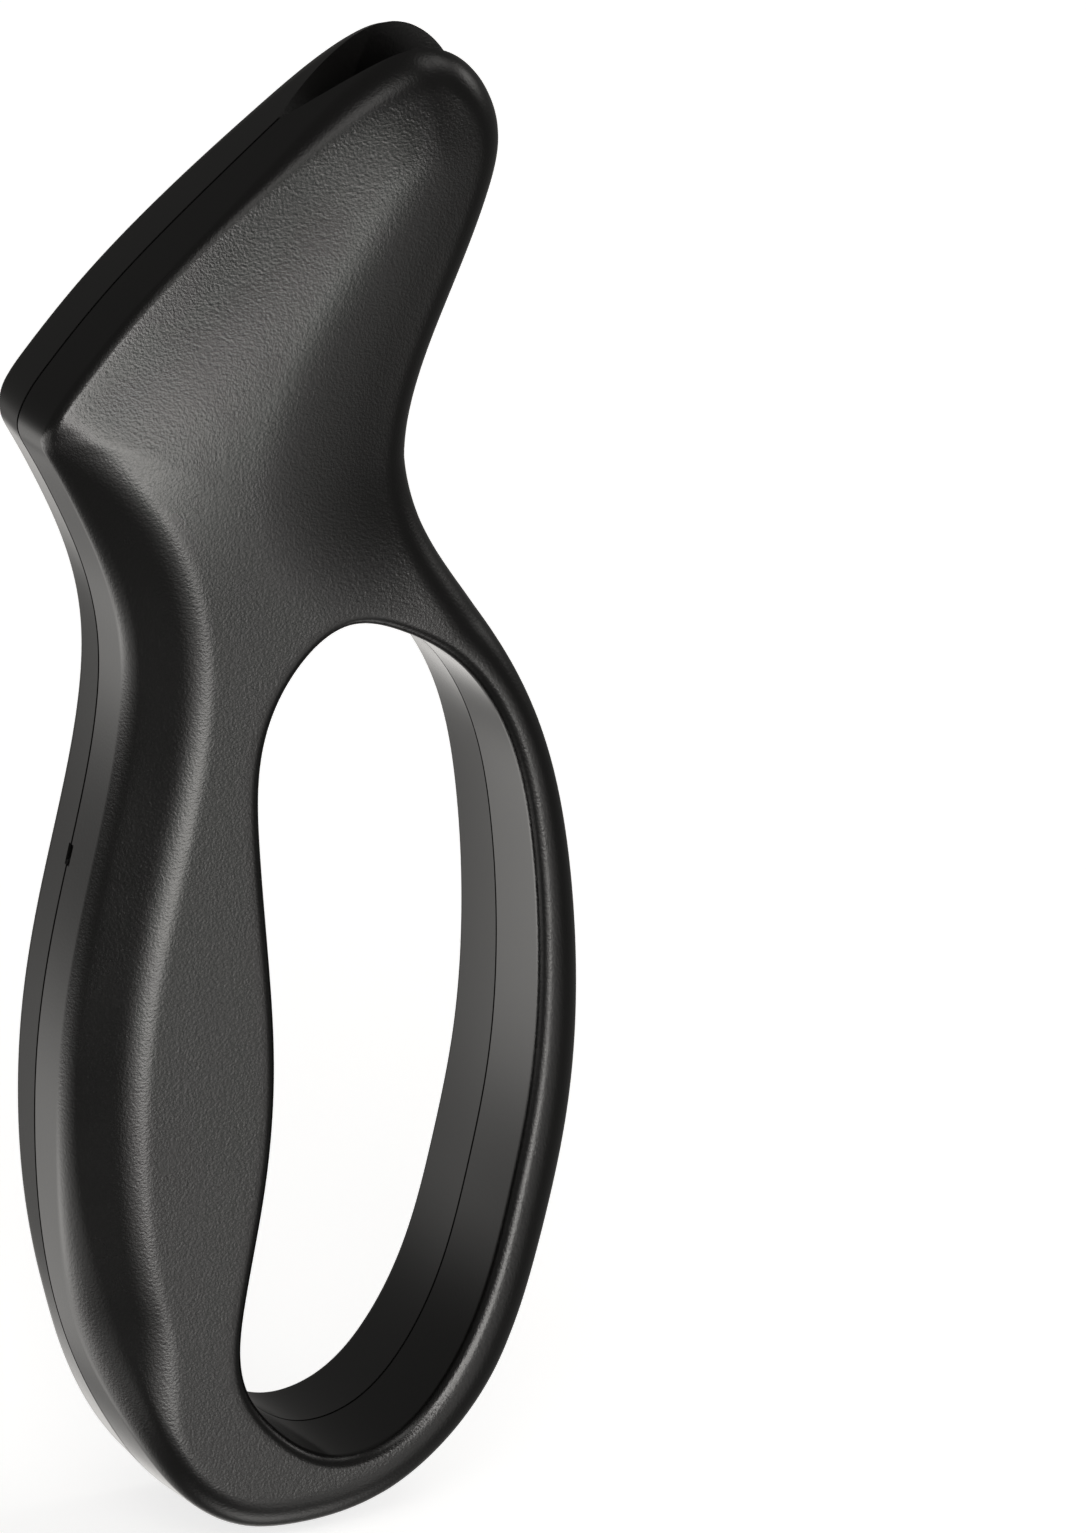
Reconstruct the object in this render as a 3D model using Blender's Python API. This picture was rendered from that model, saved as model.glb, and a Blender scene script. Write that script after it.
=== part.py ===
"""Hand-held V-slot sharpener with a full finger guard.

Two hollow moulded half shells meet at the plane y = 0. The head carries a V mouth with a
removable carbide cartridge, held by one clamp screw. The handle stands upright: +Z runs
from the heel to the head, -Y is the front face and +X is the finger-guard side.
"""
import math

import bmesh
import bpy
import numpy as np
from mathutils import Matrix, Vector
from mathutils.geometry import delaunay_2d_cdt

MM = 0.001

# Overall size
LENGTH = 150.0 * MM
WIDTH = 56.0 * MM
THICKNESS = 19.6 * MM

# The outlines and the places on them are drawn on one grid, stretched so that OUTER fills WIDTH and LENGTH.
HEEL = [(-8.6, -73.0), (-2.1, -73.9), (6.2, -72.4), (13.0, -68.2)]
GUARD = [(19.04, -60.87), (23.24, -49.8), (26.08, -38.5), (27.47, -26.02), (27.13, -13.99), (25.53, -2.37),
         (22.23, 8.75)]
NECK = [(16.55, 19.44), (11.43, 28.35), (10.24, 35.29), (11.46, 41.96), (14.9, 50.5)]
TIP = [(19.0, 60.4), (20.2, 66.3), (18.9, 71.3), (15.8, 74.9), (11.9, 76.2), (7.6, 75.0)]
SLANT = [(-1.19, 69.14), (-10.48, 61.84), (-19.81, 53.74), (-25.46, 47.76)]
CORNER = [(-28.0, 44.3), (-28.6, 42.1), (-27.6, 39.5)]
PALM = [(-24.77, 33.9), (-21.75, 26.49), (-20.25, 18.97), (-20.53, 11.25), (-22.31, 1.67), (-24.87, -9.29),
        (-26.67, -20.33), (-27.11, -31.4)]
HEEL_SIDE = [(-26.4, -41.8), (-23.8, -53.2), (-19.1, -63.1), (-14.4, -69.3)]
OUTER = HEEL + GUARD + NECK + TIP + SLANT + CORNER + PALM + HEEL_SIDE
LOOP = [(0.59, -65.73), (6.48, -64.71), (11.69, -59.96), (15.83, -52.26), (18.67, -42.62), (20.89, -32.02),
        (21.86, -20.01), (21.28, -6.33), (18.61, 5.92), (13.52, 13.93), (7.67, 18.01), (2.18, 19.4),
        (-3.24, 15.63), (-6.49, 8.62), (-6.89, -1.49), (-5.93, -13.99), (-5.43, -25.0), (-6.48, -37.5),
        (-8.52, -48.51), (-8.58, -57.14), (-5.13, -62.33)]
MOUTH_LEFT = (-0.9, 68.7)
MOUTH_RIGHT = (16.4, 57.6)

# Moulded surface
EDGE_HEIGHT = 6.1 * MM
PALM_EDGE_HEIGHT = 5.4 * MM
TIP_EDGE_HEIGHT = 7.3 * MM
HEEL_LIFT = 4.5 * MM
HEEL_LIFT_FROM = -48.0
HEEL_LIFT_TO = -70.0
RIDGE_OFFSET = 6.2 * MM
CROWN_REACH = 27.0 * MM
TIP_SLOPE = 0.2
RIDGE_BLEND = 1.2 * MM
SLANT_RADIUS = 0.9 * MM
PALM_RADIUS = 1.2 * MM
HEEL_SIDE_RADIUS = 3.0 * MM
TIP_RADIUS = 3.2 * MM
GUARD_RADIUS = 4.4 * MM
LOOP_RADIUS = 1.2 * MM
MIN_CREST = 0.3 * MM
DRAFT = 0.3 * MM
WALL = 2.0 * MM
MIN_HOLLOW = 1.0 * MM
SEAM = 0.3 * MM

# V mouth and the cartridge that sits across its root
MOUTH_SLOPE = 0.45
MOUTH_HALF_GAP = 4.9 * MM
MOUTH_DEPTH = 24.0 * MM
POCKET_REACH = 0.98
FIT = 0.3 * MM
CARTRIDGE_WIDTH = 7.6 * MM
CARTRIDGE_THICK = 7.2 * MM
CARTRIDGE_LENGTH = 22.0 * MM
CARTRIDGE_NOSE = 3.3 * MM
BLADE_THICK = 1.4 * MM
BLADE_WIDTH = 1.8 * MM
BLADE_LENGTH = 10.0 * MM
BLADE_TILT = math.radians(18.0)
BLADE_CROSSING = 0.3 * MM
CARRIER_NOTCH_SLOPE = 0.5
RIVET_RADIUS = 0.6 * MM
RIVET_HEAD_RADIUS = 1.1 * MM
RIVET_HEAD = 0.5 * MM
RIVET_SPREAD = 4.0 * MM

# Clamp screw, washer and captive nut
CLAMP_DEPTH = 13.0 * MM
CLAMP_RADIUS = 2.0 * MM
CLAMP_HEAD_RADIUS = 3.6 * MM
CLAMP_HEAD = 1.7 * MM
CLAMP_SEAT = 1.6 * MM
WASHER_THICK = 0.6 * MM
NUT_FLATS = 7.0 * MM
NUT_THICK = 2.6 * MM

# Case screws through the rear shell into the front shell
BOSS_RADIUS = 3.9 * MM
CASE_SCREW_RADIUS = 1.3 * MM
CASE_HEAD_RADIUS = 2.5 * MM
CASE_HEAD = 1.6 * MM
CASE_HEAD_SUNK = 0.6 * MM
CASE_BITE = 4.5 * MM
RECESS_WIDTH = 0.7 * MM
RECESS_DEPTH = 0.8 * MM
PIN_RADIUS = 0.9 * MM
PIN_LENGTH = 1.6 * MM
PIN_BOSS_RADIUS = 1.6 * MM

# Boss and pin centres on the outline grid
CASE_BOSSES = {"head": (-19.5, 43.5), "neck": (0.4, 27.8), "palm_upper": (-12.9, 2.0),
               "palm_lower": (-14.8, -33.0), "heel": (-12.0, -61.6)}
PIN_BOSSES = [(24.3, -19.0), (20.3, -48.0)]
PRY_PLACE = (-22.9, -3.0)
PRY_WIDTH = 2.2 * MM
PRY_DEPTH = 0.9 * MM
PRY_HEIGHT = 1.0 * MM

# Mesh density
OUTER_SIDES = 132
LOOP_SIDES = 60
SPAN_SAMPLES = 24
TURN_WEIGHT = 25.0 * MM
FILLET_RINGS = 4
FACE_STEP = 3.2 * MM
HOLLOW_STEP = 5.0 * MM
MOUTH_STEPS = 6
ROUND_SIDES = 24
REACH = 60.0 * MM
OVERSHOOT = 1.0 * MM
TIDY_DISTANCE = 0.002 * MM

BLACK_ABS = ((0.018, 0.018, 0.019), 0.38, 0.0)
CARRIER_NYLON = ((0.05, 0.05, 0.055), 0.5, 0.0)
CARBIDE = ((0.30, 0.31, 0.33), 0.28, 1.0)
ZINC_STEEL = ((0.55, 0.56, 0.58), 0.32, 1.0)
BLACK_STEEL = ((0.03, 0.03, 0.032), 0.35, 1.0)


def clear_scene():
    for obj in list(bpy.data.objects):
        bpy.data.objects.remove(obj, do_unlink=True)


def material(name, look):
    colour, roughness, metallic = look
    made = bpy.data.materials.new(name)
    made.use_nodes = True
    shader = made.node_tree.nodes["Principled BSDF"]
    shader.inputs["Base Color"].default_value = (*colour, 1.0)
    shader.inputs["Roughness"].default_value = roughness
    shader.inputs["Metallic"].default_value = metallic
    return made


# Outlines


def closed_curve(points):
    """Smooth closed curve through the points: a periodic cubic spline, sampled evenly in each span."""
    points = np.array(points)
    count = len(points)
    after = np.roll(points, -1, axis=0)
    span = np.linalg.norm(after - points, axis=1)
    before = np.roll(span, 1)
    system = np.zeros((count, count))
    right = np.zeros((count, 2))
    for i in range(count):
        system[i, i - 1] = 1.0 / before[i]
        system[i, i] = 2.0 / before[i] + 2.0 / span[i]
        system[i, (i + 1) % count] = 1.0 / span[i]
        right[i] = 3.0 * ((points[i] - points[i - 1]) / before[i] ** 2 + (after[i] - points[i]) / span[i] ** 2)
    slope = np.linalg.solve(system, right)
    samples = []
    for i in range(count):
        j = (i + 1) % count
        for step in range(SPAN_SAMPLES):
            t = step / SPAN_SAMPLES
            start, end = points[i], points[j]
            a = slope[i] * span[i]
            b = slope[j] * span[i]
            samples.append(start * (2 * t ** 3 - 3 * t ** 2 + 1) + a * (t ** 3 - 2 * t ** 2 + t)
                           + end * (3 * t ** 2 - 2 * t ** 3) + b * (t ** 3 - t ** 2))
    return np.array(samples)


def left_normals(curve):
    along = np.roll(curve, -1, axis=0) - np.roll(curve, 1, axis=0)
    along /= np.linalg.norm(along, axis=1)[:, None]
    return np.stack([-along[:, 1], along[:, 0]], axis=1)


def distance_to(points, line):
    """Distance from each point to an open polyline."""
    start, step = line[:-1], np.diff(line, axis=0)
    offset = points[:, None, :] - start[None, :, :]
    share = np.clip((offset * step).sum(-1) / (step ** 2).sum(-1), 0.0, 1.0)
    return np.linalg.norm(offset - share[..., None] * step, axis=-1).min(axis=1)


def inside(points, polygon):
    """Even-odd test of many points against one closed polygon."""
    start, end = polygon, np.roll(polygon, -1, axis=0)
    x, z = points[:, None, 0], points[:, None, 1]
    spans = (start[:, 1] > z) != (end[:, 1] > z)
    rise = np.where(end[:, 1] == start[:, 1], 1.0, end[:, 1] - start[:, 1])
    reach = start[:, 0] + (z - start[:, 1]) * (end[:, 0] - start[:, 0]) / rise
    return (spans & (x < reach)).sum(axis=1) % 2 == 1


def closed(line):
    return np.concatenate([line, line[:1]])


def spaced(curve, count):
    """Indices of samples along a closed curve, closer together where it turns."""
    step = np.roll(curve, -1, axis=0) - curve
    heading = np.unwrap(np.arctan2(step[:, 1], step[:, 0]))
    turn = np.abs(np.diff(heading, append=heading[-1:]))
    effort = np.cumsum(np.linalg.norm(step, axis=1) + TURN_WEIGHT * turn)
    return np.searchsorted(effort, np.arange(count) * effort[-1] / count)


def fill_between(outer, loop, step):
    """Triangles between two closed lines: their points first, then a staggered grid of points between them."""
    points = [*outer, *loop]
    if step:
        low, high = outer.min(axis=0), outer.max(axis=0)
        columns = np.arange(low[0], high[0], step)
        rows = np.arange(low[1], high[1], step * math.sqrt(3.0) / 2.0)
        grid = np.array([(x + step / 2.0 * (i % 2), z) for i, z in enumerate(rows) for x in columns])
        grid = grid[inside(grid, outer) & ~inside(grid, loop)]
        clear = np.minimum(distance_to(grid, closed(outer)), distance_to(grid, closed(loop)))
        points += [*grid[clear > step * 0.6]]
    count = len(outer)
    edges = [(i, (i + 1) % count) for i in range(count)]
    edges += [(count + i, count + (i + 1) % len(loop)) for i in range(len(loop))]
    made = delaunay_2d_cdt([Vector(p) for p in points], edges, [], 0, 1e-9)
    triangles = np.array([face for face in made[2]])
    centres = np.array([[*v] for v in made[0]])[triangles].mean(axis=1)
    keep = inside(centres, outer) & ~inside(centres, loop)
    return np.array(points), triangles[keep]


def smooth_ring(values, passes):
    for _ in range(passes):
        values = (np.roll(values, 1, axis=0) + 2.0 * values + np.roll(values, -1, axis=0)) / 4.0
    return values


def ease(values, start, end):
    """0 before start, 1 after end, and a smooth step between."""
    share = np.clip((values - start) / (end - start), 0.0, 1.0)
    return share * share * (3.0 - 2.0 * share)


def smooth_min(a, b, blend):
    near = np.maximum(blend - np.abs(a - b), 0.0) / blend
    return np.minimum(a, b) - near ** 2 * blend / 4.0


class Form:
    """The moulded outside: outlines in the object's frame, and the height of the face above y = 0."""

    def __init__(self):
        drawn = closed_curve(OUTER)
        low, high = drawn.min(axis=0), drawn.max(axis=0)
        self.scale = np.array([WIDTH, LENGTH]) / (high - low)
        self.origin = np.array([(low[0] + high[0]) / 2.0, low[1]])
        self.outer = self.place(drawn)
        self.loop = closed_curve(self.place(LOOP))
        zones = [(HEEL, GUARD_RADIUS), (GUARD, GUARD_RADIUS), (NECK, TIP_RADIUS), (TIP, TIP_RADIUS),
                 (SLANT, SLANT_RADIUS), (CORNER, SLANT_RADIUS), (PALM, PALM_RADIUS),
                 (HEEL_SIDE, HEEL_SIDE_RADIUS)]
        knots = np.cumsum([0] + [len(zone) for zone, _ in zones]) * SPAN_SAMPLES
        ring = np.concatenate([self.outer, self.outer])
        self.tip_edge = ring[knots[2] + 2 * SPAN_SAMPLES:knots[4] - 2 * SPAN_SAMPLES]
        self.slant_edge = ring[knots[4] - 2 * SPAN_SAMPLES:knots[5] + SPAN_SAMPLES]
        self.palm_edge = ring[knots[5] + SPAN_SAMPLES:knots[8] + 2 * SPAN_SAMPLES]
        radius = np.repeat([size for _, size in zones], np.diff(knots))
        self.radius = smooth_ring(radius, SPAN_SAMPLES ** 2)
        self.lay_sections()

    def place(self, points):
        """Grid points to the object's (x, z): the outline's box stands on z = 0, centred on x = 0."""
        return (np.array(points) - self.origin) * self.scale

    def lay_sections(self):
        """Places along both outlines, their directions into the material, and the outer rounding there."""
        pick = spaced(self.outer, OUTER_SIDES)
        self.edge = self.outer[pick]
        self.edge_in = left_normals(self.outer)[pick]
        pick_loop = spaced(self.loop, LOOP_SIDES)
        self.rim = self.loop[pick_loop]
        self.rim_in = -left_normals(self.loop)[pick_loop]
        self.edge_width = distance_to(self.edge, closed(self.loop))
        self.rim_width = distance_to(self.rim, closed(self.outer))
        limit = self.edge_width - LOOP_RADIUS - 2.0 * DRAFT - MIN_CREST
        self.edge_radius = np.minimum(self.radius[pick], limit)

    def face(self, points):
        """Height of the face without its edge rounding."""
        top = THICKNESS / 2.0
        crown = 1.0 - (1.0 - np.minimum(distance_to(points, self.slant_edge) / CROWN_REACH, 1.0)) ** 3
        head = EDGE_HEIGHT + (top - EDGE_HEIGHT) * crown
        rise = (top - PALM_EDGE_HEIGHT) / RIDGE_OFFSET
        lift = HEEL_LIFT * ease(points[:, 1], *self.place([(0.0, HEEL_LIFT_FROM), (0.0, HEEL_LIFT_TO)])[:, 1])
        palm = PALM_EDGE_HEIGHT + lift + rise * distance_to(points, self.palm_edge)
        tip = TIP_EDGE_HEIGHT + TIP_SLOPE * distance_to(points, self.tip_edge)
        height = smooth_min(head, palm, RIDGE_BLEND)
        return smooth_min(height, tip, RIDGE_BLEND)

    def skin(self):
        """Rings of places and heights from each parting line up to the face: the outer side, then the loop."""
        outer = [(self.edge, np.full(OUTER_SIDES, SEAM / 2.0))]
        loop = [(self.rim, np.full(LOOP_SIDES, SEAM / 2.0))]
        for angle in np.linspace(0.0, math.pi / 2.0, FILLET_RINGS + 1):
            inset = self.edge_radius * (1.0 - math.cos(angle)) + DRAFT
            place = self.edge + self.edge_in * inset[:, None]
            outer.append((place, self.face(place) - self.edge_radius * (1.0 - math.sin(angle))))
            place = self.rim + self.rim_in * (LOOP_RADIUS * (1.0 - math.cos(angle)) + DRAFT)
            loop.append((place, self.face(place) - LOOP_RADIUS * (1.0 - math.sin(angle))))
        return outer, loop

    def hollow_height(self, places):
        """Height of the hollow: one wall below the outside, its rounded outer side included."""
        gap = np.linalg.norm(places[:, None] - self.edge[None], axis=2)
        radius = self.edge_radius[gap.argmin(axis=1)]
        short = np.maximum(radius - distance_to(places, closed(self.edge)), 0.0)
        return self.face(places) - WALL - radius + np.sqrt(radius ** 2 - short ** 2)

    def hollow_walls(self):
        """Walls of the hollow, one wall in from each side, or less where the bar is too thin to stay hollow."""
        outer_inset = np.minimum(WALL + DRAFT, (self.edge_width - MIN_HOLLOW) / 2.0)
        loop_inset = np.minimum(WALL + DRAFT, (self.rim_width - MIN_HOLLOW) / 2.0)
        outer_place = self.edge + self.edge_in * outer_inset[:, None]
        loop_place = self.rim + self.rim_in * loop_inset[:, None]
        outer = [(outer_place, np.full(OUTER_SIDES, -OVERSHOOT)),
                 (outer_place, self.hollow_height(outer_place))]
        loop = [(loop_place, np.full(LOOP_SIDES, -OVERSHOOT)),
                (loop_place, self.hollow_height(loop_place))]
        return outer, loop

    def height_at(self, place):
        return float(self.face(np.array([place]))[0])


# Meshes


def new_object(name, mesh_edit):
    work = bmesh.new()
    mesh_edit(work)
    bmesh.ops.recalc_face_normals(work, faces=work.faces)
    mesh = bpy.data.meshes.new(name)
    work.to_mesh(mesh)
    work.free()
    obj = bpy.data.objects.new(name, mesh)
    bpy.context.scene.collection.objects.link(obj)
    return obj


def ring_body(name, sides, height_of, step, rise):
    """Closed ring-shaped body: two sets of side rings, a flat base, and a top that follows height_of."""
    def edit(work):
        def add(places, heights):
            return [work.verts.new((x, rise * y, z)) for (x, z), y in zip(places, heights)]
        rows = [[add(*ring) for ring in side] for side in sides]
        for side in rows:
            for row, following in zip(side, side[1:]):
                for i in range(len(row)):
                    j = (i + 1) % len(row)
                    work.faces.new((row[i], row[j], following[j], following[i]))
        for level, spacing in ((0, None), (-1, step)):
            outer, loop = sides[0][level][0], sides[1][level][0]
            points, triangles = fill_between(outer, loop, spacing)
            between = points[len(outer) + len(loop):]
            verts = rows[0][level] + rows[1][level]
            if len(between):
                verts = verts + add(between, height_of(between))
            for triangle in triangles:
                work.faces.new([verts[i] for i in triangle])
    return new_object(name, edit)


def prism(name, outline, start, end, frame):
    """Outline of (a, b) points extruded from start to end; frame maps (a, b, c) to the object's axes."""
    def edit(work):
        low = [work.verts.new(frame @ Vector((a, b, start))) for a, b in outline]
        high = [work.verts.new(frame @ Vector((a, b, end))) for a, b in outline]
        work.faces.new(low)
        work.faces.new(high[::-1])
        for i in range(len(outline)):
            j = (i + 1) % len(outline)
            work.faces.new((low[i], low[j], high[j], high[i]))
    return new_object(name, edit)


def circle(radius, sides=ROUND_SIDES):
    turns = [2.0 * math.pi * i / sides for i in range(sides)]
    return [(radius * math.cos(t), radius * math.sin(t)) for t in turns]


def hexagon(flats):
    corner = flats / math.sqrt(3.0)
    return [(corner * math.cos(math.pi * i / 3.0), corner * math.sin(math.pi * i / 3.0)) for i in range(6)]


def box_outline(low_a, high_a, low_b, high_b):
    return [(low_a, low_b), (high_a, low_b), (high_a, high_b), (low_a, high_b)]


def cut(target, tools, operation="DIFFERENCE"):
    """Apply one Boolean with all the tools at once, tidy its slivers and remove the tools."""
    group = bpy.data.collections.new("tools")
    bpy.context.scene.collection.children.link(group)
    for tool in tools:
        group.objects.link(tool)
    change = target.modifiers.new("cut", "BOOLEAN")
    change.operation = operation
    change.solver = "EXACT"
    change.operand_type = "COLLECTION"
    change.collection = group
    graph = bpy.context.evaluated_depsgraph_get()
    mesh = bpy.data.meshes.new_from_object(target.evaluated_get(graph))
    target.modifiers.clear()
    old = target.data
    target.data = mesh
    bpy.data.meshes.remove(old)
    for tool in tools:
        bpy.data.objects.remove(tool, do_unlink=True)
    bpy.data.collections.remove(group)
    tidy(mesh)


def tidy(mesh):
    work = bmesh.new()
    work.from_mesh(mesh)
    bmesh.ops.triangulate(work, faces=work.faces)
    bmesh.ops.remove_doubles(work, verts=work.verts, dist=TIDY_DISTANCE)
    bmesh.ops.dissolve_degenerate(work, edges=work.edges, dist=TIDY_DISTANCE)
    work.to_mesh(mesh)
    work.free()


def finish(obj, paint, crease=35.0):
    obj.data.materials.clear()
    obj.data.materials.append(paint)
    obj.data.shade_smooth()
    obj.data.set_sharp_from_angle(angle=math.radians(crease))


def through_y(centre):
    """Frame for a round outline in the XZ plane that is extruded along +Y."""
    x, z = centre
    return Matrix(((1, 0, 0, x), (0, 0, 1, 0), (0, 1, 0, z), (0, 0, 0, 1)))


# Mouth frame: x along the mouth's root, y to the rear, z out of the mouth


def mouth_frame(form):
    left, right = form.place([MOUTH_LEFT, MOUTH_RIGHT])
    root = (right - left) / np.linalg.norm(right - left)
    centre = (left + right) / 2.0
    out = np.array([-root[1], root[0]])
    return Matrix(((root[0], 0, out[0], centre[0]), (0, 1, 0, 0), (root[1], 0, out[1], centre[1]), (0, 0, 0, 1)))


def along_root(frame):
    """Outline (y, z) of the mouth frame, extruded along the mouth's root."""
    return frame @ Matrix(((0, 0, 1, 0), (1, 0, 0, 0), (0, 1, 0, 0), (0, 0, 0, 1)))


def along_depth(frame):
    """Outline (x, z) of the mouth frame, extruded along +Y."""
    return frame @ Matrix(((1, 0, 0, 0), (0, 0, 1, 0), (0, 1, 0, 0), (0, 0, 0, 1)))


def mouth_gap(depth):
    """Half the gap between the lips: a V at the root that rounds out to a constant width."""
    return MOUTH_HALF_GAP * math.tanh(MOUTH_SLOPE * depth / MOUTH_HALF_GAP)


def mouth_outline():
    depths = [MOUTH_DEPTH * (step / MOUTH_STEPS) ** 1.5 for step in range(1, MOUTH_STEPS + 1)]
    side = [(mouth_gap(depth), depth) for depth in depths]
    return [(0.0, 0.0)] + side + [(-gap, depth) for gap, depth in reversed(side)]


def pocket_floor():
    return CARTRIDGE_NOSE - CARTRIDGE_LENGTH - FIT


def pocket_half():
    return CARTRIDGE_THICK / 2.0 + FIT


def pocket_top():
    """Depth at which the mouth is as wide as the pocket, so that the cartridge slides out between the lips."""
    return MOUTH_HALF_GAP / MOUTH_SLOPE * math.atanh(min(pocket_half() / MOUTH_HALF_GAP, POCKET_REACH))


def mouth_tools(frame):
    side = CARTRIDGE_WIDTH / 2.0 + FIT
    pocket = box_outline(-side, side, pocket_floor(), pocket_top())
    return [prism("mouth_tool", mouth_outline(), -REACH, REACH, along_root(frame)),
            prism("pocket_tool", pocket, -pocket_half(), pocket_half(), along_depth(frame))]


def clamp_centre(frame):
    spot = frame @ Vector((0.0, 0.0, -CLAMP_DEPTH))
    return spot.x, spot.z


def clamp_levels():
    """Heights above y = 0 of the screw's seat, washer and head."""
    seat = pocket_half() + CLAMP_SEAT
    washer = seat + FIT
    head = washer + WASHER_THICK + FIT
    return seat, washer, head


def hollow(name, form, frame, rise):
    """The hollow of one shell, with the mouth housing, the screw bosses and the pin bosses left standing."""
    space = ring_body(name, form.hollow_walls(), form.hollow_height, HOLLOW_STEP, rise)
    side = CARTRIDGE_WIDTH / 2.0 + FIT + WALL
    housing = box_outline(-side, side, pocket_floor() - WALL, REACH)
    lips = box_outline(-REACH, REACH, -WALL, REACH)
    standing = [prism("solid", outline, -REACH, REACH, along_depth(frame)) for outline in (housing, lips)]
    for centre in form.place(list(CASE_BOSSES.values())):
        standing.append(prism("boss", circle(BOSS_RADIUS), -REACH, REACH, through_y(centre)))
    for centre in form.place(PIN_BOSSES):
        standing.append(prism("pin_boss", circle(PIN_BOSS_RADIUS, 12), -REACH, REACH, through_y(centre)))
    cut(space, standing)
    return space


def case_levels(form, centre):
    """Heights of a case screw's head top, head underside and seat at a boss."""
    top = form.height_at(centre) - CASE_HEAD_SUNK
    under = top - CASE_HEAD
    return top, under, under - FIT


def pry_tool(form):
    """A small tapered notch across the seam on the palm side, where the shells are prised apart."""
    x, z = form.place([PRY_PLACE])[0]
    nearest = int(np.argmin(np.linalg.norm(form.outer - np.array([x, z]), axis=1)))
    point, inward = form.outer[nearest], left_normals(form.outer)[nearest]
    frame = Matrix(((inward[0], -inward[1], 0, point[0]), (0, 0, 1, 0), (inward[1], inward[0], 0, point[1]),
                    (0, 0, 0, 1)))
    outline = [(-PRY_DEPTH, -PRY_WIDTH), (PRY_DEPTH, 0.0), (-PRY_DEPTH, PRY_WIDTH)]
    return prism("pry_tool", outline, -PRY_HEIGHT / 2.0, PRY_HEIGHT / 2.0, frame)


def shell(name, form, frame, rise, holes):
    body = ring_body(name, form.skin(), form.face, FACE_STEP, rise)
    cut(body, [hollow("hollow_tool", form, frame, rise)])
    cut(body, mouth_tools(frame) + [pry_tool(form)])
    cut(body, holes)
    return body


def front_shell(form, frame, paint):
    holes = []
    for centre in form.place(list(CASE_BOSSES.values())):
        deep = SEAM / 2.0 + CASE_BITE + FIT
        holes.append(prism("pilot", circle(CASE_SCREW_RADIUS + FIT), -deep, OVERSHOOT, through_y(centre)))
    for centre in form.place(PIN_BOSSES):
        deep = SEAM / 2.0 + PIN_LENGTH + FIT
        holes.append(prism("pin_hole", circle(PIN_RADIUS + FIT, 12), -deep, OVERSHOOT, through_y(centre)))
    nut_room = pocket_half() + NUT_THICK + 2.0 * FIT
    frame_y = through_y(clamp_centre(frame))
    holes.append(prism("nut_room", hexagon(NUT_FLATS + 2.0 * FIT), -nut_room, 0.0, frame_y))
    finish(shell("front_shell", form, frame, -1.0, holes), paint)


def rear_shell(form, frame, paint):
    holes = []
    for centre in form.place(list(CASE_BOSSES.values())):
        seat = case_levels(form, centre)[2]
        holes.append(prism("shank", circle(CASE_SCREW_RADIUS + FIT), -OVERSHOOT, REACH, through_y(centre)))
        holes.append(prism("head", circle(CASE_HEAD_RADIUS + FIT), seat, REACH, through_y(centre)))
    seat = clamp_levels()[0]
    frame_y = through_y(clamp_centre(frame))
    holes.append(prism("clamp_hole", circle(CLAMP_RADIUS + FIT), 0.0, REACH, frame_y))
    holes.append(prism("clamp_head", circle(CLAMP_HEAD_RADIUS + FIT), seat, REACH, frame_y))
    body = shell("rear_shell", form, frame, 1.0, holes)
    pins = [prism("pin", circle(PIN_RADIUS, 12), -PIN_LENGTH, PIN_LENGTH, through_y(centre))
            for centre in form.place(PIN_BOSSES)]
    cut(body, pins, "UNION")
    finish(body, paint)


def cross_recess(body, centre, top):
    """Cross-shaped driver recess in a screw head whose flat top faces the rear."""
    arm = RECESS_WIDTH * 2.4
    frame = through_y(centre)
    outlines = [box_outline(-arm, arm, -RECESS_WIDTH / 2.0, RECESS_WIDTH / 2.0),
                box_outline(-RECESS_WIDTH / 2.0, RECESS_WIDTH / 2.0, -arm, arm)]
    cut(body, [prism("recess", outline, top - RECESS_DEPTH, top + OVERSHOOT, frame) for outline in outlines])


def headed_screw(name, centre, radius, head_radius, tip, under, top, paint):
    """Shank and head as one body, turned about its axis from the tip to the driver recess."""
    chamfer = radius / 4.0
    rim = (top - under) / 4.0
    profile = [(0.0, tip), (radius - chamfer, tip), (radius, tip + chamfer), (radius, under),
               (head_radius, under), (head_radius, top - rim), (head_radius - rim, top), (0.0, top)]
    x, z = centre

    def edit(work):
        points = [work.verts.new((r, y, 0.0)) for r, y in profile]
        edges = [work.edges.new(pair) for pair in zip(points, points[1:])]
        bmesh.ops.spin(work, geom=points + edges, cent=(0, 0, 0), axis=(0, 1, 0), angle=2.0 * math.pi,
                       steps=ROUND_SIDES, use_merge=False)
        bmesh.ops.remove_doubles(work, verts=work.verts, dist=1e-6)
        bmesh.ops.translate(work, verts=work.verts, vec=(x, 0.0, z))
    body = new_object(name, edit)
    cross_recess(body, centre, top)
    finish(body, paint)


def case_screws(form, paint):
    for place, centre in zip(CASE_BOSSES, form.place(list(CASE_BOSSES.values()))):
        top, under, _ = case_levels(form, centre)
        tip = -SEAM / 2.0 - CASE_BITE
        headed_screw("case_screw_" + place, centre, CASE_SCREW_RADIUS, CASE_HEAD_RADIUS, tip, under, top, paint)


def ring_plate(name, outline, bore, low, high, frame, paint):
    body = prism(name, outline, low, high, frame)
    cut(body, [prism("bore", circle(bore), low - OVERSHOOT, high + OVERSHOOT, frame)])
    finish(body, paint)


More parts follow.
